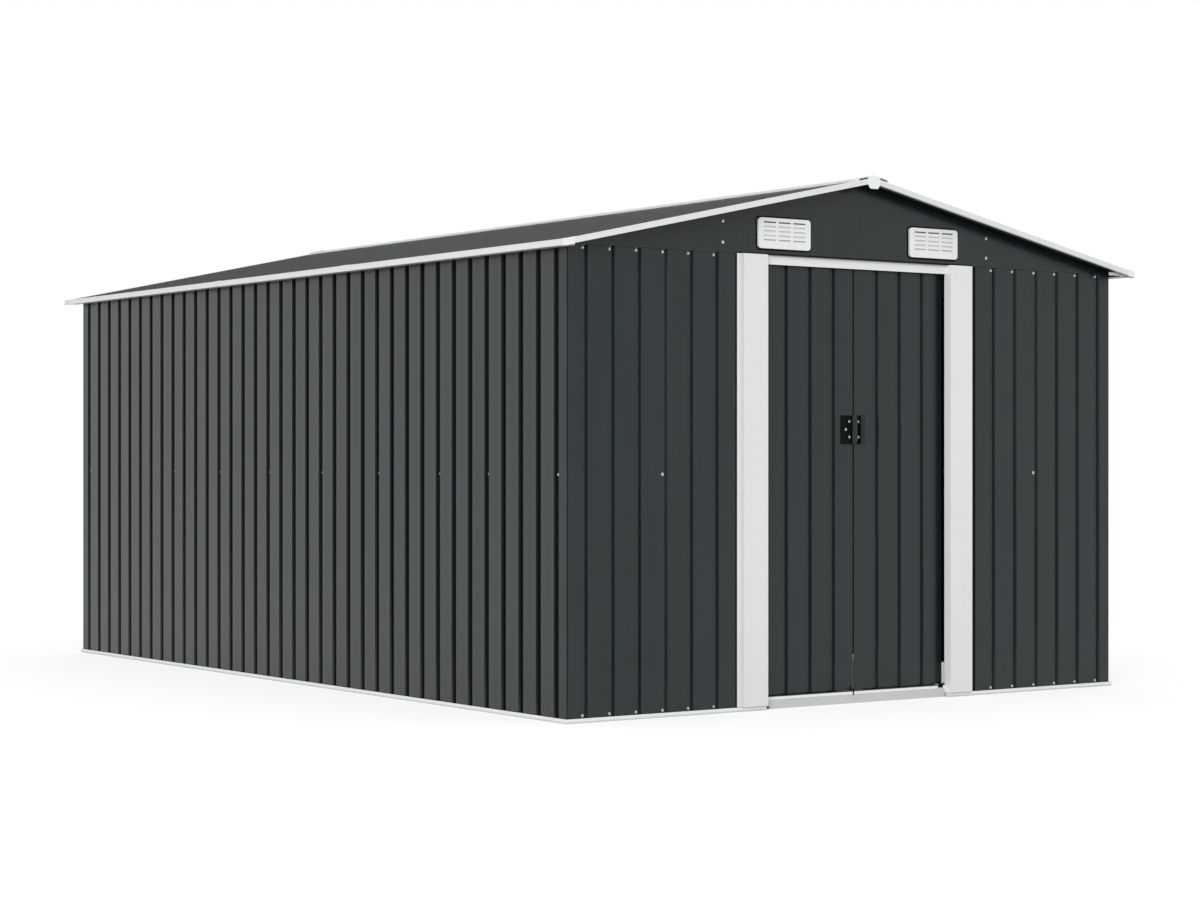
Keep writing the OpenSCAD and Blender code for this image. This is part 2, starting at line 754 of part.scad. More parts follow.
// Plastic caps at the four eave corners and the two ends of the ridge
module eave_cap() {
    near = [eave_x + fit_gap, roof_end + fit_gap];
    far = near + [cap_t, cap_t];
    low = -band_h - cap_more;
    high = up(lip_top) + cap_more;
    along_y(eave_end + over_cut, far[1]) slope_band(near[0], far[0], low, high);
    along_y(near[1], far[1]) slope_band(eave_x - cap_leg, far[0], low, high);
}
module ridge_end() {
    face = roof_end + fit_gap;
    crest = 2 * lip_top + ridge_rise;
    along_y(face, face + cap_t) polygon([
        on_roof(-ridge_cap_half, crest + cap_t),
        on_roof(-ridge_cap_half, 0) - [0, ridge_cap_drop - ridge_tab_drop],
        on_roof(-ridge_tab_half, 0) - [0, ridge_cap_drop],
        on_roof(ridge_tab_half, 0) - [0, ridge_cap_drop],
        on_roof(ridge_cap_half, 0) - [0, ridge_cap_drop - ridge_tab_drop],
        on_roof(ridge_cap_half, crest + cap_t),
        on_roof(0, crest + cap_t)
    ]);
    along_y(face - hood_l, face + cap_t) polygon([
        on_roof(-ridge_wing, crest),
        on_roof(0, crest),
        on_roof(ridge_wing, crest),
        on_roof(ridge_wing, crest + cap_t),
        on_roof(0, crest + cap_t),
        on_roof(-ridge_wing, crest + cap_t)
    ]);
}
module roof_end_caps() color(glide_color) {
    for (y = [0, 1]) mirror([0, y, 0]) {
        both_sides() eave_cap();
        ridge_end();
    }
}

// Doors, drawn for the right leaf in the front wall's frame
module door_leaf(first) {
    count = floor((stile_x - rib_open / 2 - first) / door_pitch);
    translate([0, door_back, leaf_low]) linear_extrude(leaf_top - leaf_low) polygon(thick(concat(
        [[leaf_in, 0]],
        ribs([for (i = [0 : 1 : count]) first + i * door_pitch]),
        [[stile_x, 0], [stile_x + stile_slope, stile_deep], [leaf_out, stile_deep]]
    )));
    block(
        [leaf_in, door_back, leaf_low],
        [leaf_in + sheet_t, door_back + leaf_return, leaf_top]
    );
    block(
        [leaf_out - sheet_t, door_back + stile_deep, stiff_low],
        [leaf_out, door_back + leaf_return, stiff_top + stiff_h]
    );
}
module left_door() color(wall_color) at_front() flip() door_leaf(left_rib);
module right_door() color(wall_color) at_front() door_leaf(right_rib);

module stiffener(low) {
    near = door_back + stiff_y;
    along_x(leaf_in + sheet_t + fit_gap, leaf_out - sheet_t - fit_gap) polygon([
        [near, low],
        [near, low + stiff_h],
        [near + stiff_d, low + stiff_h],
        [near + stiff_d, low + stiff_h - rail_t],
        [near + rail_t, low + stiff_h - rail_t],
        [near + rail_t, low + rail_t],
        [near + stiff_d, low + rail_t],
        [near + stiff_d, low]
    ]);
}
module stiffeners() {
    stiffener(stiff_low);
    stiffener(stiff_mid);
    stiffener(stiff_top);
}
module left_door_stiffeners() color(frame_color) at_front() flip() stiffeners();
module right_door_stiffeners() color(frame_color) at_front() stiffeners();

// Glides: a tee that rides in the header, and a fork over the lower track
module top_glide(x) {
    foot = stiff_top + stiff_h + fit_gap;
    head = header_lip_z + rail_t + fit_gap;
    block([x, slot_y - glide_neck / 2, foot], [x + glide_l, slot_y + glide_neck / 2, head + glide_head_h]);
    block(
        [x, slot_y - glide_head / 2, head],
        [x + glide_l, slot_y + glide_head / 2, head + glide_head_h]
    );
}
module fork(x) difference() {
    block(
        [x, slot_y - fork_w / 2, track_lip - fork_deep],
        [x + glide_l, slot_y + fork_w / 2, stiff_low - fit_gap]
    );
    block(
        [x - over_cut, slot_y - rail_t / 2 - fit_gap, track_lip - fork_deep - over_cut],
        [x + glide_l + over_cut, slot_y + rail_t / 2 + fit_gap, track_lip + over_cut]
    );
}
// Guide beside a door's outer edge, and the shoe that reaches round from it to the front of the stile
module side_guide(low, high) block(
    [leaf_out + fit_gap, door_back + stile_deep, low],
    [leaf_out + glide_out, slot_y + glide_neck / 2, high]
);
module shoe(low, high, lap) {
    block([leaf_out - lap, shoe_y, low], [leaf_out + glide_out, shoe_y + shoe_t, high]);
    block([leaf_out + glide_out - shoe_t, shoe_y, low], [leaf_out + glide_out, slot_y, high]);
}
module glides() {
    inner = leaf_in + sheet_t + run_gap;
    outer = leaf_out + glide_out - glide_l;
    top_glide(inner);
    fork(inner);
    top_glide(outer);
    side_guide(leaf_top - glide_side_h, leaf_top);
    shoe(leaf_top - glide_side_h, leaf_top - glide_side_h + shoe_top_h, shoe_w / 2);
    fork(outer);
    side_guide(track_lip + run_gap, leaf_low + glide_side_h);
    shoe(leaf_low + run_gap, leaf_low + glide_side_h, shoe_w);
}
module left_door_glides() color(glide_color) at_front() flip() glides();
module right_door_glides() color(glide_color) at_front() glides();

// Handles: a plate on each door with an upright grip, beside the seam on the left door and
// on the plate's far edge on the right one
module handle(plate_w, grip_x, grip_out) {
    face = door_back - fit_gap;
    block(
        [plate_in, face - plate_t, handle_z - handle_h / 2],
        [plate_in + plate_w, face, handle_z + handle_h / 2]
    );
    along_x(grip_x, grip_x + grip_t) translate([face - plate_t, handle_z]) intersection() {
        translate([-grip_out, -handle_h / 2]) square([grip_out + plate_t / 2, handle_h]);
        translate([plate_t - grip_out / 2, 0]) rounded(
            grip_out + 2 * plate_t, handle_h, min(grip_r, grip_out / 2)
        );
    }
}
module left_handle() color(handle_color) at_front() flip()
    handle(left_plate_w, plate_in, left_reach);
module right_handle() color(handle_color) at_front()
    handle(right_plate_w, plate_in + right_plate_w - grip_t, right_reach);

base_rail_front();
base_rail_rear();
base_rail_left();
base_rail_right();
door_sill();
front_left_corner();
front_right_corner();
rear_left_corner();
rear_right_corner();
front_left_panel();
front_right_panel();
left_wall();
right_wall();
rear_wall();
front_gable();
rear_gable();
front_vents();
rear_vents();
left_jamb();
right_jamb();
door_header();
rear_top_rail();
left_top_rail();
right_top_rail();
front_braces();
rear_brace();
left_brace();
right_brace();
ridge_beam();
left_purlin();
right_purlin();
left_roof();
right_roof();
ridge_cap();
left_eave_trim();
right_eave_trim();
front_gable_trim();
rear_gable_trim();
roof_end_caps();
left_door();
left_door_stiffeners();
left_door_glides();
left_handle();
right_door();
right_door_stiffeners();
right_door_glides();
right_handle();
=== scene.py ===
import bpy
import math
import random
from mathutils import Matrix, Vector


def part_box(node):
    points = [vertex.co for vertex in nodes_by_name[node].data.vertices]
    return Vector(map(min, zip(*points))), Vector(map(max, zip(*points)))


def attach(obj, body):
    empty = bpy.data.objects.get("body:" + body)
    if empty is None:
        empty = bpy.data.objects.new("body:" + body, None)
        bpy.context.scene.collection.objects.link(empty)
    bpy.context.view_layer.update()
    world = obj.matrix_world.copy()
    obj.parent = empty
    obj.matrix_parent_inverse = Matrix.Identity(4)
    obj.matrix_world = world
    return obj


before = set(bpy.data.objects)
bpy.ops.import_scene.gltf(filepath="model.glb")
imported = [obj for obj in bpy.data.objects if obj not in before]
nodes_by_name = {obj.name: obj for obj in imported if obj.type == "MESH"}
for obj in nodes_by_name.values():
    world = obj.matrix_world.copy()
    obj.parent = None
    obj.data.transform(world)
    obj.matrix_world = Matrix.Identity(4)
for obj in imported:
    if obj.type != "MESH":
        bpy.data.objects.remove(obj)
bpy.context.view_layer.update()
scene = bpy.context.scene

# Measures of the shed, in metres
FRONT_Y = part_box("front_left_corner")[0][1]
REAR_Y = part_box("rear_left_corner")[1][1]
SIDE_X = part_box("right_wall")[1][0]
RIB_DEEP = 0.0095
LAP_DEEP = 0.0082
END_RIB_IN = 0.066
END_PITCH = 0.1065
END_RIBS = 6
LAP_RIB = 3
SIDE_FIRST = 0.061
SIDE_PITCH = 0.104
SIDE_RIBS = 36
SIDE_LAPS = (0, 4, 7, 11, 15, 19, 23, 27, 31, 35)
DOOR_BACK = 0.033
TOP_ROW_Z = 1.530
LOW_ROW_Z = 0.0215
MID_ROW_Z = 0.798
GROOVE_EDGE = (0.010, 0.0135)
RIB_PAINTED_SHEEN = (0.016, 0.046)
BAND_BLUR = 0.0008


# Materials
class Surface:
    """A node material with short ways to add texture nodes."""

    def __init__(self, name):
        self.material = bpy.data.materials.new(name)
        self.material.use_nodes = True
        self.tree = self.material.node_tree
        self.shader = self.tree.nodes["Principled BSDF"]
        self.coords = self.add("ShaderNodeTexCoord").outputs["Object"]

    def add(self, kind, **settings):
        node = self.tree.nodes.new(kind)
        for key, value in settings.items():
            setattr(node, key, value)
        return node

    def feed(self, socket, value):
        if isinstance(value, bpy.types.NodeSocket):
            self.tree.links.new(value, socket)
        else:
            socket.default_value = value

    def stretched(self, scale):
        node = self.add("ShaderNodeMapping")
        self.feed(node.inputs["Vector"], self.coords)
        node.inputs["Scale"].default_value = scale
        return node.outputs["Vector"]

    def noise(self, scale, detail=3.0, rough=0.55, stretch=None):
        node = self.add("ShaderNodeTexNoise")
        self.feed(node.inputs["Vector"], self.stretched(stretch) if stretch else self.coords)
        node.inputs["Scale"].default_value = scale
        node.inputs["Detail"].default_value = detail
        node.inputs["Roughness"].default_value = rough
        return node.outputs["Fac"]

    def cells(self, scale):
        node = self.add("ShaderNodeTexVoronoi")
        self.feed(node.inputs["Vector"], self.coords)
        node.inputs["Scale"].default_value = scale
        return node.outputs["Color"]

    def remap(self, value, low, high, to_low, to_high):
        node = self.add("ShaderNodeMapRange", interpolation_type="SMOOTHSTEP")
        self.feed(node.inputs["Value"], value)
        node.inputs["From Min"].default_value = low
        node.inputs["From Max"].default_value = high
        node.inputs["To Min"].default_value = to_low
        node.inputs["To Max"].default_value = to_high
        return node.outputs["Result"]

    def math(self, operation, first, second=0.0):
        node = self.add("ShaderNodeMath", operation=operation)
        self.feed(node.inputs[0], first)
        self.feed(node.inputs[1], second)
        return node.outputs[0]

    def axis(self, name, vector=None):
        node = self.add("ShaderNodeSeparateXYZ")
        self.feed(node.inputs[0], vector or self.coords)
        return node.outputs[name]

    def facing(self, name, sign=0):
        """1 where the surface faces along an axis, or only along its positive or negative way."""
        normal = self.add("ShaderNodeNewGeometry").outputs["Normal"]
        along = self.axis(name, normal)
        along = self.math("MULTIPLY", along, sign) if sign else self.math("ABSOLUTE", along)
        return self.remap(along, 0.2, 0.4, 0.0, 1.0)

    def blend(self, amount, first, second):
        node = self.add("ShaderNodeMix", data_type="RGBA")
        self.feed(node.inputs["Factor"], amount)
        self.feed(node.inputs[6], first)
        self.feed(node.inputs[7], second)
        return node.outputs[2]

    def bump(self, height, strength, distance, under=None):
        node = self.add("ShaderNodeBump")
        self.feed(node.inputs["Height"], height)
        node.inputs["Strength"].default_value = strength
        node.inputs["Distance"].default_value = distance
        if under:
            self.feed(node.inputs["Normal"], under)
        return node.outputs["Normal"]

    def finish(self, colour, roughness, normal, metallic=0.0, specular=0.5, tint=None):
        self.feed(self.shader.inputs["Base Color"], colour)
        self.feed(self.shader.inputs["Roughness"], roughness)
        self.feed(self.shader.inputs["Normal"], normal)
        self.shader.inputs["Metallic"].default_value = metallic
        self.shader.inputs["Specular IOR Level"].default_value = specular
        if tint:
            self.feed(self.shader.inputs["Specular Tint"], tint)
        return self.material


def tone(red, green, blue):
    return (red, green, blue, 1.0)


def dark_paint(name, specular, rib_axis=None, first_rib=0.0, dust=0.06, soffit=False):
    """Dark satin coil paint: mottling, rain streaks, dust at the foot, a painted sheen beside the ribs,
    painted shade in the grooves and in their reflections, and a rougher underside painted dark as shade."""
    s = Surface(name)
    mottle = s.remap(s.noise(7.0, 4.0), 0.3, 0.7, 0.0, 1.0)
    streak = s.remap(s.noise(26.0, 3.0, 0.6, (1.0, 1.0, 0.05)), 0.35, 0.75, 0.0, 1.0)
    colour = s.blend(mottle, tone(0.0078, 0.0164, 0.0172), tone(0.0096, 0.0186, 0.0195))
    colour = s.blend(s.math("MULTIPLY", streak, 0.35), colour, tone(0.0150, 0.0225, 0.0232))
    foot = s.remap(s.axis("Z"), 0.015, 0.22, 1.0, 0.0)
    speck = s.remap(s.noise(90.0, 4.0, 0.7), 0.42, 0.70, 0.0, 1.0)
    dusty = s.math("MULTIPLY", s.math("MULTIPLY", foot, speck), dust)
    colour = s.blend(dusty, colour, tone(0.16, 0.155, 0.145))
    rough = s.remap(s.noise(40.0, 3.0, 0.6), 0.25, 0.75, 0.20, 0.26)
    tint = None
    if rib_axis:
        along = s.math("SUBTRACT", s.axis(rib_axis), first_rib)
        away = s.math("PINGPONG", along, SIDE_PITCH / 2)
        # Painted sheen: the flats are lighter beside the ribs.
        beside = s.remap(away, *RIB_PAINTED_SHEEN, 0.8, 0.0)
        colour = s.blend(beside, colour, tone(0.0180, 0.0255, 0.0270))
        # Painted shade in the grooves: a darker colour and dimmed reflections.
        painted_groove_shade = s.remap(away, *GROOVE_EDGE, 1.0, 0.0)
        colour = s.blend(painted_groove_shade, colour, tone(0.0022, 0.0030, 0.0032))
        rough = s.math("ADD", rough, s.math("MULTIPLY", painted_groove_shade, 0.25))
        tint = s.blend(painted_groove_shade, tone(1.0, 1.0, 1.0), tone(0.11, 0.11, 0.11))
    rough = s.math("ADD", rough, s.math("MULTIPLY", dusty, 0.5))
    if soffit:
        # Painted shade: the faces turned down are darker, and rougher as well.
        under = s.facing("Z", -1)
        colour = s.blend(under, colour, tone(0.0018, 0.0022, 0.0023))
        rough = s.math("ADD", rough, s.math("MULTIPLY", under, 0.65))
    wave = s.bump(s.noise(2.6, 2.0, 0.5, (1.0, 1.0, 0.4)), 0.15, 0.012)
    peel = s.bump(s.noise(420.0, 2.0), 0.04, 0.0005, wave)
    return s.finish(colour, rough, peel, specular=specular, tint=tint)


def white_paint(name, light, shade, dust, bands=(), turned=None, shade_reflections=False):
    """White coil paint: mottling, faint streaks, dust at the foot, painted light and shade as other tones
    above given heights, and as another tone on the faces set along an axis, whose reflections can be
    darkened as painted shade."""
    s = Surface(name)
    mottle = s.remap(s.noise(5.0, 4.0), 0.3, 0.7, 0.0, 1.0)
    colour = s.blend(mottle, light, shade)
    streak = s.remap(s.noise(30.0, 3.0, 0.6, (1.0, 1.0, 0.06)), 0.52, 0.80, 0.0, 0.10)
    colour = s.blend(streak, colour, tone(0.60, 0.60, 0.58))
    foot = s.remap(s.axis("Z"), 0.0, 0.16, 1.0, 0.0)
    speck = s.remap(s.noise(70.0, 4.0, 0.7), 0.38, 0.72, 0.0, 1.0)
    dusty = s.math("MULTIPLY", s.math("MULTIPLY", foot, speck), dust)
    colour = s.blend(dusty, colour, tone(0.42, 0.40, 0.37))
    # Painted light and shade: a tone above each given height.
    for height, band in bands:
        above = s.remap(s.axis("Z"), height - BAND_BLUR, height + BAND_BLUR, 0.0, 1.0)
        colour = s.blend(above, colour, band)
    tint = None
    # A painted tone, lighter or darker as the call gives, on the faces set along an axis.
    if turned:
        facing = s.facing(turned[0], turned[1])
        colour = s.blend(facing, colour, turned[2])
        # Painted shade on the reflections of those faces.
        if shade_reflections:
            tint = s.blend(facing, tone(1.0, 1.0, 1.0), tone(0.08, 0.08, 0.08))
    rough = s.remap(s.noise(45.0, 3.0, 0.6), 0.25, 0.75, 0.38, 0.48)
    wave = s.bump(s.noise(3.0, 2.0), 0.2, 0.006)
    peel = s.bump(s.noise(420.0, 2.0), 0.05, 0.0005, wave)
    return s.finish(colour, rough, peel, tint=tint)


def zinc_coat(name, bright):
    """Galvanised steel: crystal spangle in tone and gloss."""
    s = Surface(name)
    spangle = s.cells(70.0)
    grain = s.remap(s.noise(18.0, 4.0), 0.3, 0.7, 0.0, 1.0)
    low = tone(bright * 0.80, bright * 0.82, bright * 0.84)
    high = tone(bright * 0.98, bright, bright * 1.01)
    colour = s.blend(spangle, low, high)
    stain = tone(bright * 0.7, bright * 0.72, bright * 0.74)
    colour = s.blend(s.math("MULTIPLY", grain, 0.4), colour, stain)
    rough = s.remap(spangle, 0.0, 1.0, 0.34, 0.50)
    normal = s.bump(s.noise(160.0, 3.0), 0.08, 0.0006)
    return s.finish(colour, rough, normal, metallic=0.85)


def moulded(
    name, light, dark, low_rough, high_rough, specular=0.5,
    proud_y=None, proud=None, above_z=None, above=None,
):
    """Moulded plastic: a fine grain, soft patches of gloss, a tone for painted light where it stands
    proud in Y, and a tone for painted shade above a height."""
    s = Surface(name)
    patch = s.remap(s.noise(30.0, 3.0), 0.3, 0.7, 0.0, 1.0)
    colour = s.blend(patch, light, dark)
    if proud:
        before = s.remap(s.axis("Y"), proud_y - 0.002, proud_y, 1.0, 0.0)
        colour = s.blend(before, colour, proud)
    if above:
        colour = s.blend(s.remap(s.axis("Z"), above_z - 0.01, above_z, 0.0, 1.0), colour, above)
    rough = s.remap(s.noise(110.0, 3.0), 0.25, 0.75, low_rough, high_rough)
    normal = s.bump(s.noise(900.0, 2.0), 0.12, 0.0004)
    return s.finish(colour, rough, normal, specular=specular)


HANDLE_FACE = FRONT_Y + 0.0297
# Copies of one dark paint: the side copy's higher specular level stands in for the stronger light on the
# sides.
wall_paint = dark_paint("wall_paint", 0.38)
side_paint = dark_paint("side_wall_paint", 0.46, "Y", FRONT_Y + SIDE_FIRST)
roof_paint = dark_paint("roof_paint", 0.40, "Y", 0.0, 0.0, True)
trim_paint = white_paint("trim_paint", tone(0.775, 0.785, 0.79), tone(0.755, 0.765, 0.77), 0.12)
# Two copies of one white paint for the jambs: painted shade on the left jamb's faces set along X, painted
# light on the right jamb's faces set towards -X, its reveal.
left_jamb_paint = white_paint(
    "left_jamb_paint", tone(0.80, 0.805, 0.805), tone(0.78, 0.785, 0.787), 0.04,
    turned=("X", 0, tone(0.67, 0.68, 0.68)),
)
right_jamb_paint = white_paint(
    "right_jamb_paint", tone(0.82, 0.825, 0.825), tone(0.80, 0.805, 0.807), 0.04,
    turned=("X", -1, tone(0.97, 0.97, 0.97)),
)
header_paint = white_paint("header_paint", tone(0.85, 0.855, 0.855), tone(0.83, 0.835, 0.835), 0.0)
# Base rail: painted shade on the lower part of its lip and a painted highlight above 5.5 mm.
rail_paint = white_paint(
    "rail_paint", tone(0.66, 0.67, 0.67), tone(0.62, 0.63, 0.635), 0.15,
    [(0.0055, tone(0.87, 0.88, 0.88))],
)
# Sill: painted shade on its face, a painted highlight band along the top of the face, a painted shadow
# line above it, and painted shadow on the faces turned up, reflections included.
sill_paint = white_paint(
    "sill_paint", tone(0.63, 0.64, 0.64), tone(0.60, 0.61, 0.615), 0.15,
    [(0.0318, tone(0.90, 0.91, 0.91)), (0.0405, tone(0.010, 0.011, 0.011))],
    ("Z", 1, tone(0.010, 0.011, 0.011)), True,
)
galvanised = zinc_coat("galvanised", 0.62)
screw_zinc = zinc_coat("screw_zinc", 0.86)
# A darker copy of the screw zinc, as painted shade on the screws in the side grooves; the seam clip takes
# it too.
screw_zinc_shaded = zinc_coat("screw_zinc_shaded", 0.42)
brace_zinc = zinc_coat("brace_zinc", 0.10)
white_plastic = moulded("white_plastic", tone(0.87, 0.89, 0.89), tone(0.845, 0.865, 0.865), 0.34, 0.46)
# Glides: painted shade, near black, on the upper glides above 0.70 m.
glide_plastic = moulded(
    "glide_plastic", tone(0.92, 0.92, 0.91), tone(0.90, 0.90, 0.89), 0.34, 0.46,
    above_z=0.70, above=tone(0.006, 0.007, 0.007),
)
# Handles: painted light on the grips standing proud in Y, which are lighter than the near-black plates.
black_plastic = moulded(
    "black_plastic", tone(0.0032, 0.0044, 0.0046), tone(0.0048, 0.0060, 0.0063), 0.5, 0.62,
    specular=0.08, proud_y=HANDLE_FACE, proud=tone(0.056, 0.068, 0.068),
)
# Pale grey, as painted light on the louvres in the slots.
vent_painted_light = moulded("vent_painted_light", tone(0.62, 0.63, 0.63), tone(0.56, 0.57, 0.57), 0.4, 0.55)
# Near black, as painted shade in the top row of the vents' slots.
vent_painted_shade = moulded("vent_painted_shade", tone(0.085, 0.088, 0.088), tone(0.10, 0.104, 0.104), 0.5, 0.65)
strip_plastic = moulded("strip_plastic", tone(0.070, 0.078, 0.080), tone(0.082, 0.09, 0.092), 0.4, 0.55)
# Near-black rubber: painted shadow in the strips beside the jambs and over the header and in the rings
# round the vents; also the stop at the sill's right end and the hook at the seam.
black_rubber_and_painted_shadow = moulded(
    "black_rubber_and_painted_shadow", tone(0.0020, 0.0026, 0.0027), tone(0.0034, 0.0040, 0.0042), 0.6, 0.75, specular=0.1
)

DARK_NODES = [
    "front_left_corner", "front_right_corner", "rear_left_corner", "rear_right_corner",
    "front_left_panel", "front_right_panel", "rear_wall", "front_gable", "rear_gable",
    "left_door", "right_door",
]
SIDE_NODES = ["left_wall", "right_wall"]
ROOF_NODES = ["left_roof", "right_roof"]
TRIM_NODES = [
    "ridge_cap", "left_eave_trim", "right_eave_trim", "front_gable_trim", "rear_gable_trim",
]
RAIL_NODES = ["base_rail_front", "base_rail_rear", "base_rail_left", "base_rail_right"]
PLASTIC_NODES = ["front_vents", "rear_vents", "roof_end_caps"]
GLIDE_NODES = ["left_door_glides", "right_door_glides"]
FRAME_NODES = [
    "rear_top_rail", "left_top_rail", "right_top_rail", "rear_brace",
    "left_brace", "right_brace", "ridge_beam", "left_purlin", "right_purlin",
    "left_door_stiffeners", "right_door_stiffeners",
]
finishes = {
    "door_header": header_paint,
    "door_sill": sill_paint,
    "front_braces": brace_zinc,
    "left_jamb": left_jamb_paint,
    "right_jamb": right_jamb_paint,
    "left_handle": black_plastic,
    "right_handle": black_plastic,
}
for names, paint in (
    (DARK_NODES, wall_paint), (SIDE_NODES, side_paint), (ROOF_NODES, roof_paint),
    (TRIM_NODES, trim_paint), (RAIL_NODES, rail_paint), (PLASTIC_NODES, white_plastic),
    (GLIDE_NODES, glide_plastic), (FRAME_NODES, galvanised),
):
    for name in names:
        finishes[name] = paint
for name, piece in nodes_by_name.items():
    piece.data.materials.clear()
    piece.data.materials.append(finishes[name])


# Screws
def piece_from(name, verts, faces, paint, body, smooth=True):
    mesh = bpy.data.meshes.new(name)
    mesh.from_pydata(verts, [], faces)
    mesh.validate()
    mesh.materials.append(paint)
    if smooth:
        mesh.polygons.foreach_set("use_smooth", [True] * len(mesh.polygons))
    piece = bpy.data.objects.new(name, mesh)
    scene.collection.objects.link(piece)
    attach(piece, body)
    return piece


HEAD_SIDES = 16
HEAD_RINGS = [
    (6.0, 0.0), (6.0, 0.5), (5.6, 0.8), (4.6, 0.8), (4.6, 1.5), (4.2, 2.3), (3.2, 3.0), (2.0, 3.2),
]
RECESS_WIDE = 1.5
RECESS_HIGH = 3.2
RECESS_LOW = 2.0


def screw_head(size):
    """A pan head on a washer with a cross recess, as rings of points and their faces."""
    unit = 0.001 * size
    verts = []
    for radius, height in HEAD_RINGS:
        for k in range(HEAD_SIDES):
            a = 2 * math.pi * k / HEAD_SIDES
            verts.append((radius * math.cos(a) * unit, radius * math.sin(a) * unit, height * unit))
    for k in range(HEAD_SIDES):
        a = 2 * math.pi * k / HEAD_SIDES
        height = RECESS_LOW if k % 4 == 0 else RECESS_HIGH
        verts.append((RECESS_WIDE * math.cos(a) * unit, RECESS_WIDE * math.sin(a) * unit, height * unit))
    verts.append((0.0, 0.0, RECESS_LOW * unit))
    faces = []
    rings = len(HEAD_RINGS) + 1
    for r in range(rings - 1):
        for k in range(HEAD_SIDES):
            n = (k + 1) % HEAD_SIDES
            low, high = r * HEAD_SIDES, (r + 1) * HEAD_SIDES
            faces.append((low + k, low + n, high + n, high + k))
    tip = len(verts) - 1
    last = (rings - 1) * HEAD_SIDES
    for k in range(HEAD_SIDES):
        faces.append((last + k, last + (k + 1) % HEAD_SIDES, tip))
    faces.append(tuple(reversed(range(HEAD_SIDES))))
    return verts, faces


EDGE_SCREW = 0.8
MID_SCREW = 0.7
HANDLE_SCREW = 0.8


def screws(name, places, body, size=1.0, paint=screw_zinc):
    """Many screws as one mesh. A place is a point and the direction that the head faces."""
    draw = random.Random(name)
    head, head_faces = screw_head(size)
    verts = []
    faces = []
    for point, facing in places:
        turn = Vector(facing).to_track_quat("Z", "Y").to_matrix().to_4x4()
        spin = Matrix.Rotation(draw.uniform(0, math.pi / 2), 4, "Z")
        move = Matrix.Translation(point) @ turn @ spin
        start = len(verts)
        verts.extend(tuple(move @ Vector(v)) for v in head)
        faces.extend(tuple(start + i for i in f) for f in head_faces)
    return piece_from(name, verts, faces, paint, body)


def end_ribs(side):
    """X of the ribs beside the doorway, and whether each is a lap."""
    for i in range(END_RIBS):
        yield side * (SIDE_X - END_RIB_IN - END_PITCH * i), i == LAP_RIB


def groove(lap):
    return LAP_DEEP if lap else RIB_DEEP


front_places = []
for side in (-1, 1):
    for x, lap in end_ribs(side):
        y = FRONT_Y + groove(lap)
        front_places.append(((x, y, TOP_ROW_Z), (0, -1, 0)))
        front_places.append(((x, y, LOW_ROW_Z), (0, -1, 0)))
        if lap:
            front_places.append(((x, y, MID_ROW_Z), (0, -1, 0)))
screws("front_wall_screws", front_places, "shed")

for side, name in ((-1, "left_wall"), (1, "right_wall")):
    mid_row = []
    edge_rows = []
    for i in range(SIDE_RIBS):
        lap = i in SIDE_LAPS
        x = side * (SIDE_X - groove(lap))
        y = FRONT_Y + SIDE_FIRST + SIDE_PITCH * i
        edge_rows.append(((x, y, TOP_ROW_Z), (side, 0, 0)))
        edge_rows.append(((x, y, LOW_ROW_Z), (side, 0, 0)))
        if lap:
            mid_row.append(((x, y, MID_ROW_Z), (side, 0, 0)))
    screws(name + "_corner_screws", [mid_row[0], mid_row[-1]], "shed", EDGE_SCREW)
    # The middle screws in the side grooves take the darker zinc as painted shade.
    screws(name + "_screws", mid_row[1:-1], "shed", MID_SCREW, screw_zinc_shaded)
    screws(name + "_edge_screws", edge_rows, "shed", EDGE_SCREW, side_paint)

END_LAP = END_RIB_IN + LAP_RIB * END_PITCH
REAR_COUNT = 16
REAR_LAP_EVERY = 4
REAR_PITCH = (2 * SIDE_X - 2 * END_LAP) / REAR_COUNT
rear_places = []
rear_xs = []
for side in (-1, 1):
    rear_xs += [(side * (SIDE_X - END_RIB_IN - END_PITCH * i), False) for i in range(LAP_RIB)]
rear_xs += [(END_LAP - SIDE_X + REAR_PITCH * i, i % REAR_LAP_EVERY == 0) for i in range(REAR_COUNT + 1)]
for x, lap in rear_xs:
    y = REAR_Y - groove(lap)
    rear_places.append(((x, y, TOP_ROW_Z), (0, 1, 0)))
    rear_places.append(((x, y, LOW_ROW_Z), (0, 1, 0)))
    if lap:
        rear_places.append(((x, y, MID_ROW_Z), (0, 1, 0)))
screws("rear_wall_screws", rear_places, "shed")

POST_X = 0.600
POST_ROWS = (1.573, 1.644)
gable_places = []
for y, facing in ((FRONT_Y, -1), (REAR_Y, 1)):
    for side in (-1, 1):
        for z in POST_ROWS:
            gable_places.append(((side * POST_X, y, z), (0, facing, 0)))
screws("gable_screws", gable_places, "shed")

HANDLE_ROWS = (0.9783, 0.9247)
left_spots = ((-0.020, HANDLE_ROWS[0]), (-0.0365, 0.9512), (-0.020, HANDLE_ROWS[1]))
screws(
    "left_handle_screws", [((x, HANDLE_FACE, z), (0, -1, 0)) for x, z in left_spots],
    "left_sliding_door", HANDLE_SCREW,
)
right_spots = [(0.0215, z) for z in HANDLE_ROWS]
screws(
    "right_handle_screws", [((x, HANDLE_FACE, z), (0, -1, 0)) for x, z in right_spots],
    "right_sliding_door", HANDLE_SCREW,
)


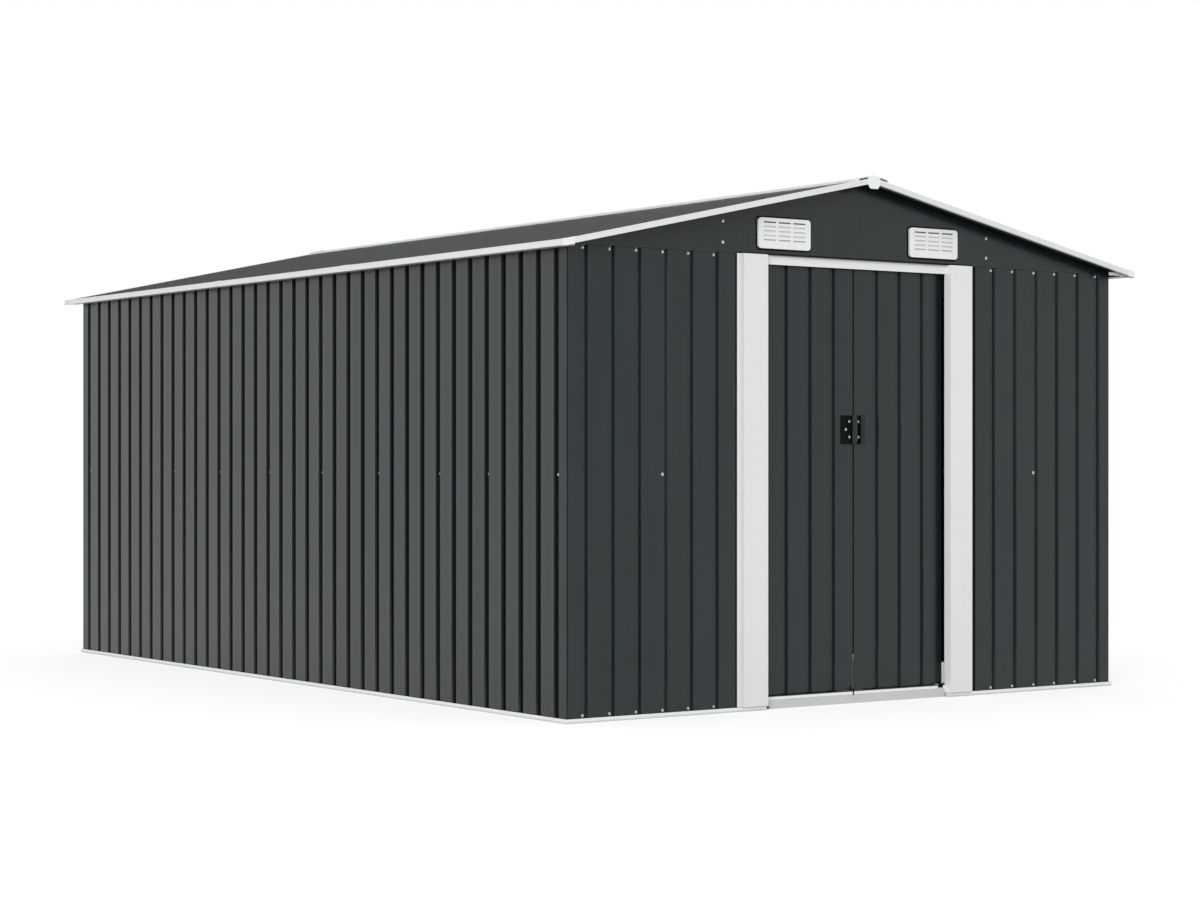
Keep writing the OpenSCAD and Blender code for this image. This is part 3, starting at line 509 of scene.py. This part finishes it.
# Small blocks: painted shadows and shade, a stop, plugs and fittings
def add_block(verts, faces, low, high, cut):
    """A box with every edge cut off, added to the lists of a mesh."""
    start = len(verts)
    index = {}
    signs = [(i, j, k) for i in (0, 1) for j in (0, 1) for k in (0, 1)]
    for sign in signs:
        for axis in range(3):
            point = []
            for a in range(3):
                inset = 0.0 if a == axis else cut
                point.append(high[a] - inset if sign[a] else low[a] + inset)
            index[sign, axis] = start + len(index)
            verts.append(tuple(point))
    middle = Vector([(a + b) / 2 for a, b in zip(low, high)])

    def add_face(loop):
        points = [Vector(verts[i]) for i in loop]
        normal = (points[1] - points[0]).cross(points[2] - points[0])
        centre = sum(points, Vector()) / len(points)
        faces.append(tuple(loop if normal.dot(centre - middle) > 0 else reversed(loop)))

    for axis in range(3):
        b, c = [a for a in range(3) if a != axis]
        for end in (0, 1):
            loop = []
            for first, second in ((0, 0), (1, 0), (1, 1), (0, 1)):
                sign = [0, 0, 0]
                sign[axis], sign[b], sign[c] = end, first, second
                loop.append(index[tuple(sign), axis])
            add_face(loop)
        for first in (0, 1):
            for second in (0, 1):
                loop = []
                for end, face in ((0, b), (1, b), (1, c), (0, c)):
                    sign = [0, 0, 0]
                    sign[axis], sign[b], sign[c] = end, first, second
                    loop.append(index[tuple(sign), face])
                add_face(loop)
    for sign in signs:
        add_face([index[sign, axis] for axis in range(3)])


def blocks(name, boxes, paint, body, cut=0.0003):
    """Boxes with cut edges as one mesh. A box is its low and its high corner."""
    verts = []
    faces = []
    for low, high in boxes:
        add_block(verts, faces, low, high, cut)
    return piece_from(name, verts, faces, paint, body, smooth=False)


def set_back(box, y):
    """A box whose Y is counted from a face."""
    return [(corner[0], y + corner[1], corner[2]) for corner in box]


# Black strips beside the jambs and over the header, as painted shadow
GAP = 0.0003
SHADOW_OUT = 0.0010
LEFT_SHADOW_W = 0.0060
RIGHT_SHADOW_X = 0.5475
HEADER_SHADOW_H = 0.0048
left_jamb_low, left_jamb_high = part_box("left_jamb")
right_jamb_low, right_jamb_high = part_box("right_jamb")
gable_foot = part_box("front_gable")[0][2]
blocks("jamb_shadows", [
    (
        (left_jamb_low[0] - LEFT_SHADOW_W, FRONT_Y - SHADOW_OUT, left_jamb_low[2]),
        (left_jamb_low[0] - GAP, FRONT_Y - GAP / 3, left_jamb_high[2]),
    ),
    (
        (right_jamb_high[0] + GAP, FRONT_Y - SHADOW_OUT, right_jamb_low[2]),
        (RIGHT_SHADOW_X, FRONT_Y - GAP / 3, right_jamb_high[2]),
    ),
], black_rubber_and_painted_shadow, "shed")

blocks("header_shadow", [(
    (left_jamb_low[0], FRONT_Y - SHADOW_OUT, gable_foot + GAP / 3),
    (right_jamb_high[0], FRONT_Y - GAP / 3, gable_foot + HEADER_SHADOW_H),
)], black_rubber_and_painted_shadow, "shed")

# A dark block beside the rail's end at the left of the sill, as painted shade, a stop at the sill's right
# end, and plugs in the ends of the base rail beside it
STOP_CUT = 0.0006
LEFT_SHADE_BLOCK = ((-0.4030, 0.0040, 0.0030), (-0.3970, 0.0165, 0.0110))
RIGHT_STOP = ((0.3820, 0.0140, 0.0335), (0.4040, 0.0160, 0.0480))
RIGHT_PLUG = ((0.4172, -0.0038, 0.0019), (0.4300, 0.0150, 0.0140))
LEFT_PLUG = ((-0.4300, -0.0038, 0.0019), (-0.4172, 0.0150, 0.0140))
blocks("left_sill_shade", [set_back(LEFT_SHADE_BLOCK, FRONT_Y)], strip_plastic, "shed", STOP_CUT)
blocks("right_sill_stop", [set_back(RIGHT_STOP, FRONT_Y)], black_rubber_and_painted_shadow, "shed", STOP_CUT)
plugs = [set_back(box, FRONT_Y) for box in (RIGHT_PLUG, LEFT_PLUG)]
blocks("rail_plugs", plugs, rail_paint, "shed")

# Strip in the seam's foot on the left door, a pale clip on its top and a hook over the sill
SEAM_STRIP = [((-0.0046, -0.0012, 0.0470), (-0.0004, -0.0001, 0.1480))]
SEAM_CLIP = [
    ((-0.0042, -0.0024, 0.1570), (-0.0006, -0.0001, 0.1690)),
    ((-0.0036, -0.0020, 0.1480), (-0.0012, -0.0001, 0.1570)),
]
SEAM_HOOK = [
    ((-0.0160, -0.0182, 0.0290), (-0.0112, -0.0172, 0.0490)),
    ((-0.0160, -0.0172, 0.0478), (-0.0112, -0.0008, 0.0490)),
    ((-0.0160, -0.0012, 0.0490), (-0.0112, -0.0001, 0.0600)),
]
for name, boxes, paint, slot in (
    ("seam_strip", SEAM_STRIP, strip_plastic, "black_plastic"),
    ("seam_clip", SEAM_CLIP, screw_zinc_shaded, "galvanised"),
    ("seam_hook", SEAM_HOOK, black_rubber_and_painted_shadow, "black_plastic"),
):
    placed = [set_back(box, FRONT_Y + DOOR_BACK) for box in boxes]
    blocks(name, placed, paint, "left_sliding_door")

# Dark ring round each vent as painted shadow, pale plates in the lower part of each row of slots as
# painted light on the louvres, and a dark plate in the top row as painted shade
VENT_X = 0.340
VENT_Z = 1.612
VENT_HALF_W = 0.1135
VENT_HALF_H = 0.052
VENT_ROUND = 0.012
VENT_OUT = 0.008
VENT_SHADOW_W = 0.0062
SLOT_W = 0.053
SLOT_H = 0.005
SLOT_COLS = (-0.064, 0.0, 0.064)
SLOT_FIRST = 0.037
SLOT_ROW = 0.0152
LIGHT_FILL_ROWS = (1, 2, 3, 4)
LIGHT_FILL_H = (0.0044, 0.0044, 0.0044, 0.0034)
LIGHT_FILL_DEEP = 0.0005
SHADE_FILL_DEEP = 0.0006
FILL_T = 0.0004
FILL_CUT = 0.0001
ARC_STEPS = 6


def rounded_loop(half_w, half_h, radius):
    loop = []
    for turn, (sx, sz) in enumerate(((1, 1), (-1, 1), (-1, -1), (1, -1))):
        for k in range(ARC_STEPS + 1):
            a = math.pi / 2 * (turn + k / ARC_STEPS)
            x = sx * (half_w - radius) + radius * math.cos(a)
            z = sz * (half_h - radius) + radius * math.sin(a)
            loop.append((x, z))
    return loop


def vent_shadow_rings(name, face_y, out):
    """Flat dark rings round both vents of a gable, as painted shadow. Out is the way that the gable faces
    in Y.
    """
    verts = []
    faces = []
    hole = rounded_loop(VENT_HALF_W + GAP, VENT_HALF_H + GAP, VENT_ROUND)
    edge = rounded_loop(VENT_HALF_W + VENT_SHADOW_W, VENT_HALF_H + VENT_SHADOW_W, VENT_ROUND + VENT_SHADOW_W)
    near, far = face_y + out * GAP / 3, face_y + out * SHADOW_OUT
    count = len(hole)
    for side in (-1, 1):
        start = len(verts)
        for loop, y in ((hole, near), (hole, far), (edge, far), (edge, near)):
            verts.extend((side * VENT_X + x, y, VENT_Z + z) for x, z in loop)
        for ring in range(4):
            a, b = start + ring * count, start + (ring + 1) % 4 * count
            for k in range(count):
                n = (k + 1) % count
                quad = (a + k, a + n, b + n, b + k)
                faces.append(quad if out > 0 else tuple(reversed(quad)))
    piece_from(name, verts, faces, black_rubber_and_painted_shadow, "shed", smooth=False)


def slot_fills(rows, heights, deep, face_y, out):
    """Thin plates in the lower part of the slots, a little behind the vent's face."""
    boxes = []
    ys = sorted((face_y + out * (VENT_OUT - deep), face_y + out * (VENT_OUT - deep - FILL_T)))
    for side in (-1, 1):
        for column in SLOT_COLS:
            for row, height in zip(rows, heights):
                low = VENT_Z + SLOT_FIRST - row * SLOT_ROW - SLOT_H / 2
                middle = side * VENT_X + column
                boxes.append((
                    (middle - SLOT_W / 2, ys[0], low), (middle + SLOT_W / 2, ys[1], low + height),
                ))
    return boxes


for name, face_y, out in (("front", FRONT_Y, -1), ("rear", REAR_Y, 1)):
    vent_shadow_rings(name + "_vent_shadow_rings", face_y, out)
    # Pale plates in the slots as painted light, and a dark plate in the top row as painted shade.
    light_fills = slot_fills(LIGHT_FILL_ROWS, LIGHT_FILL_H, LIGHT_FILL_DEEP, face_y, out)
    blocks(name + "_vent_lips", light_fills, vent_painted_light, "shed", FILL_CUT)
    shade_fills = slot_fills((0,), (SLOT_H,), SHADE_FILL_DEEP, face_y, out)
    blocks(name + "_vent_gauze", shade_fills, vent_painted_shade, "shed", FILL_CUT)

# Pale strips under the eaves, between the walls and the eave trims
LINING_IN = 0.0015
LINING_T = 0.0008
LINING_CUT = 0.0002
LINING_HIGH = 0.0095
PLATE_T = 0.001
END_IN = 0.002
TRIM_IN = 0.0030
WALL_OUT = 0.0040
linings = []
for side, name in ((-1, "left_eave_trim"), (1, "right_eave_trim")):
    low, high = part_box(name)
    outer = max(abs(low[0]), abs(high[0])) - TRIM_IN
    xs = sorted((side * (SIDE_X + WALL_OUT), side * outer))
    foot = low[2] + LINING_IN
    linings.append((
        (xs[0], low[1] + END_IN, foot), (xs[1], high[1] - END_IN, foot + LINING_T),
    ))
    for end in (low[1] + END_IN, high[1] - END_IN - PLATE_T):
        linings.append((
            (xs[0], end, foot + LINING_T), (xs[1], end + PLATE_T, foot + LINING_HIGH),
        ))
# Return of the lining at the front end of the right eave
RETURN_XS = (1.1765, SIDE_X + 0.0038)
RETURN_ZS = (1.5320, 1.5440)
front_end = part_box("right_eave_trim")[0][1] + END_IN
linings.append((
    (RETURN_XS[0], front_end, RETURN_ZS[0]), (RETURN_XS[1], front_end + PLATE_T, RETURN_ZS[1]),
))
blocks("eave_linings", linings, trim_paint, "shed", LINING_CUT)


# Nodes of the floor and the world
def math_node(tree, operation, first, second=None):
    node = tree.nodes.new("ShaderNodeMath")
    node.operation = operation
    for socket, value in zip(node.inputs, (first, second)):
        if isinstance(value, bpy.types.NodeSocket):
            tree.links.new(value, socket)
        elif value is not None:
            socket.default_value = value
    return node.outputs[0]


def background_rays(tree):
    """1 for the rays that see the background: from the camera, in reflections and through glass."""
    path = tree.nodes.new("ShaderNodeLightPath")
    seen = path.outputs["Is Camera Ray"]
    for name in ("Is Glossy Ray", "Is Transmission Ray"):
        seen = math_node(tree, "MAXIMUM", seen, path.outputs[name])
    return seen


def outside(tree, half_x, half_y):
    """1 on the floor round the object, 0 on the floor within its walls."""
    split = tree.nodes.new("ShaderNodeSeparateXYZ")
    tree.links.new(tree.nodes.new("ShaderNodeTexCoord").outputs["Object"], split.inputs[0])
    beyond = []
    for axis, half in (("X", half_x), ("Y", half_y)):
        size = math_node(tree, "ABSOLUTE", split.outputs[axis])
        beyond.append(math_node(tree, "GREATER_THAN", size, half))
    return math_node(tree, "MAXIMUM", beyond[0], beyond[1])


# Floor, white as the background, apart from the object's shadow and the floor inside it
FLOOR_SIDE = 60.0
FLOOR_DROP = 0.0005
FLOOR_TONE = 0.40
FLOOR_WHITE = 0.66
INSIDE_X = SIDE_X - 0.02
INSIDE_Y = -FRONT_Y - 0.025
floor_mesh = bpy.data.meshes.new("floor")
floor_corners = [(x * FLOOR_SIDE, y * FLOOR_SIDE, 0) for x, y in ((-1, -1), (1, -1), (1, 1), (-1, 1))]
floor_mesh.from_pydata(floor_corners, [], [(0, 1, 2, 3)])
floor = bpy.data.objects.new("floor", floor_mesh)
floor.location.z = -FLOOR_DROP
scene.collection.objects.link(floor)

floor_look = bpy.data.materials.new("floor")
floor_look.use_nodes = True
tree = floor_look.node_tree
tree.nodes.clear()
floor_out = tree.nodes.new("ShaderNodeOutputMaterial")
floor_sum = tree.nodes.new("ShaderNodeAddShader")
floor_body = tree.nodes.new("ShaderNodeBsdfDiffuse")
floor_body.inputs["Color"].default_value = (FLOOR_TONE, FLOOR_TONE, FLOOR_TONE, 1)
floor_glow = tree.nodes.new("ShaderNodeEmission")
floor_glow.inputs["Color"].default_value = (FLOOR_WHITE, FLOOR_WHITE, FLOOR_WHITE, 1)
glow_level = math_node(tree, "MULTIPLY", background_rays(tree), outside(tree, INSIDE_X, INSIDE_Y))
tree.links.new(glow_level, floor_glow.inputs["Strength"])
tree.links.new(floor_body.outputs[0], floor_sum.inputs[0])
tree.links.new(floor_glow.outputs[0], floor_sum.inputs[1])
tree.links.new(floor_sum.outputs[0], floor_out.inputs["Surface"])
floor_mesh.materials.append(floor_look)

# World: white behind the object and in reflections, and an even soft light
SOFT_LIGHT = 0.90
world = bpy.data.worlds.new("studio")
scene.world = world
world.use_nodes = True
world.cycles.sampling_method = "NONE"
tree = world.node_tree
tree.nodes.clear()
world_out = tree.nodes.new("ShaderNodeOutputWorld")
soft = tree.nodes.new("ShaderNodeBackground")
soft.inputs["Color"].default_value = (1.0, 1.0, 1.0, 1)
soft.inputs["Strength"].default_value = SOFT_LIGHT
white = tree.nodes.new("ShaderNodeBackground")
white.inputs["Color"].default_value = (1.0, 1.0, 1.0, 1)
white.inputs["Strength"].default_value = 1.0
choice = tree.nodes.new("ShaderNodeMixShader")
tree.links.new(background_rays(tree), choice.inputs[0])
tree.links.new(soft.outputs[0], choice.inputs[1])
tree.links.new(white.outputs[0], choice.inputs[2])
tree.links.new(choice.outputs[0], world_out.inputs["Surface"])


# Dark panels, seen only in reflections
FLAG_RADIUS = 40.0
SHEET_STEPS = 24


def dark_sheet(name, pairs, shade):
    """A strip of quads through pairs of points, in one dark tone."""
    verts = [point for pair in pairs for point in pair]
    faces = [(2 * k, 2 * k + 2, 2 * k + 3, 2 * k + 1) for k in range(len(pairs) - 1)]
    mesh = bpy.data.meshes.new(name)
    mesh.from_pydata(verts, [], faces)
    look = bpy.data.materials.new(name)
    look.use_nodes = True
    look.node_tree.nodes.clear()
    out = look.node_tree.nodes.new("ShaderNodeOutputMaterial")
    glow = look.node_tree.nodes.new("ShaderNodeEmission")
    glow.inputs["Color"].default_value = (shade, shade, shade, 1)
    look.node_tree.links.new(glow.outputs[0], out.inputs["Surface"])
    mesh.materials.append(look)
    panel = bpy.data.objects.new(name, mesh)
    scene.collection.objects.link(panel)
    panel.visible_camera = False
    panel.visible_diffuse = False
    panel.visible_shadow = False
    panel.visible_transmission = False


def flag(name, heading, spread, low, high, shade):
    """An upright curved panel round the object, centred on a compass heading from +X in degrees."""
    pairs = []
    for k in range(SHEET_STEPS + 1):
        a = math.radians(heading - spread + 2 * spread * k / SHEET_STEPS)
        x = FLAG_RADIUS * math.cos(a)
        y = FLAG_RADIUS * math.sin(a)
        pairs.append(((x, y, low), (x, y, high)))
    dark_sheet(name, pairs, shade)


def mat(name, low_heading, high_heading, reach, near_line, shade):
    """A sheet on the floor between two headings, from a line beside the object out to a reach."""
    pairs = []
    for k in range(SHEET_STEPS + 1):
        part = k / SHEET_STEPS
        a = math.radians(low_heading + (high_heading - low_heading) * part)
        x = near_line[0][0] * (1 - part) + near_line[1][0] * part
        y = near_line[0][1] * (1 - part) + near_line[1][1] * part
        pairs.append(((x, y, 0.0), (x + reach * math.cos(a), y + reach * math.sin(a), 0.0)))
    dark_sheet(name, pairs, shade)


FLAG_SPREAD = 32
FLAG_HIGH = 22.0
MAT_Y = FRONT_Y - 0.1
flag("front_flag", -125, FLAG_SPREAD, 0.0, FLAG_HIGH, 0.06)
flag("rear_flag", 52, FLAG_SPREAD, 0.0, FLAG_HIGH, 0.15)
mat("front_mat", -157, -93, 39.0, ((-9.0, MAT_Y), (-SIDE_X, MAT_Y)), 0.05)


# Lamp
def lamp(name, place, aim, wide, tall, watts):
    data = bpy.data.lights.new(name, "AREA")
    data.shape = "RECTANGLE"
    data.size = wide
    data.size_y = tall
    data.energy = watts
    item = bpy.data.objects.new(name, data)
    item.location = place
    item.rotation_mode = "QUATERNION"
    item.rotation_quaternion = (Vector(aim) - Vector(place)).to_track_quat("-Z", "Y")
    item.visible_glossy = False
    scene.collection.objects.link(item)


lamp("front_softbox", (-15.6, -16.0, 7.2), (-0.6, -1.2, 0.8), 11.0, 9.0, 2150.0)

# Camera, level, at the photograph's place
camera_data = bpy.data.cameras.new("camera")
camera_data.sensor_width = 36.0
camera_data.lens = 77.478
camera_data.shift_y = 0.00766
camera_data.clip_end = 300.0
camera = bpy.data.objects.new("camera", camera_data)
camera.location = (-5.8919, -8.7072, 0.8477)
camera.rotation_euler = (math.radians(90), 0, math.radians(-35.079))
scene.collection.objects.link(camera)
scene.camera = camera

scene.view_settings.view_transform = "Standard"
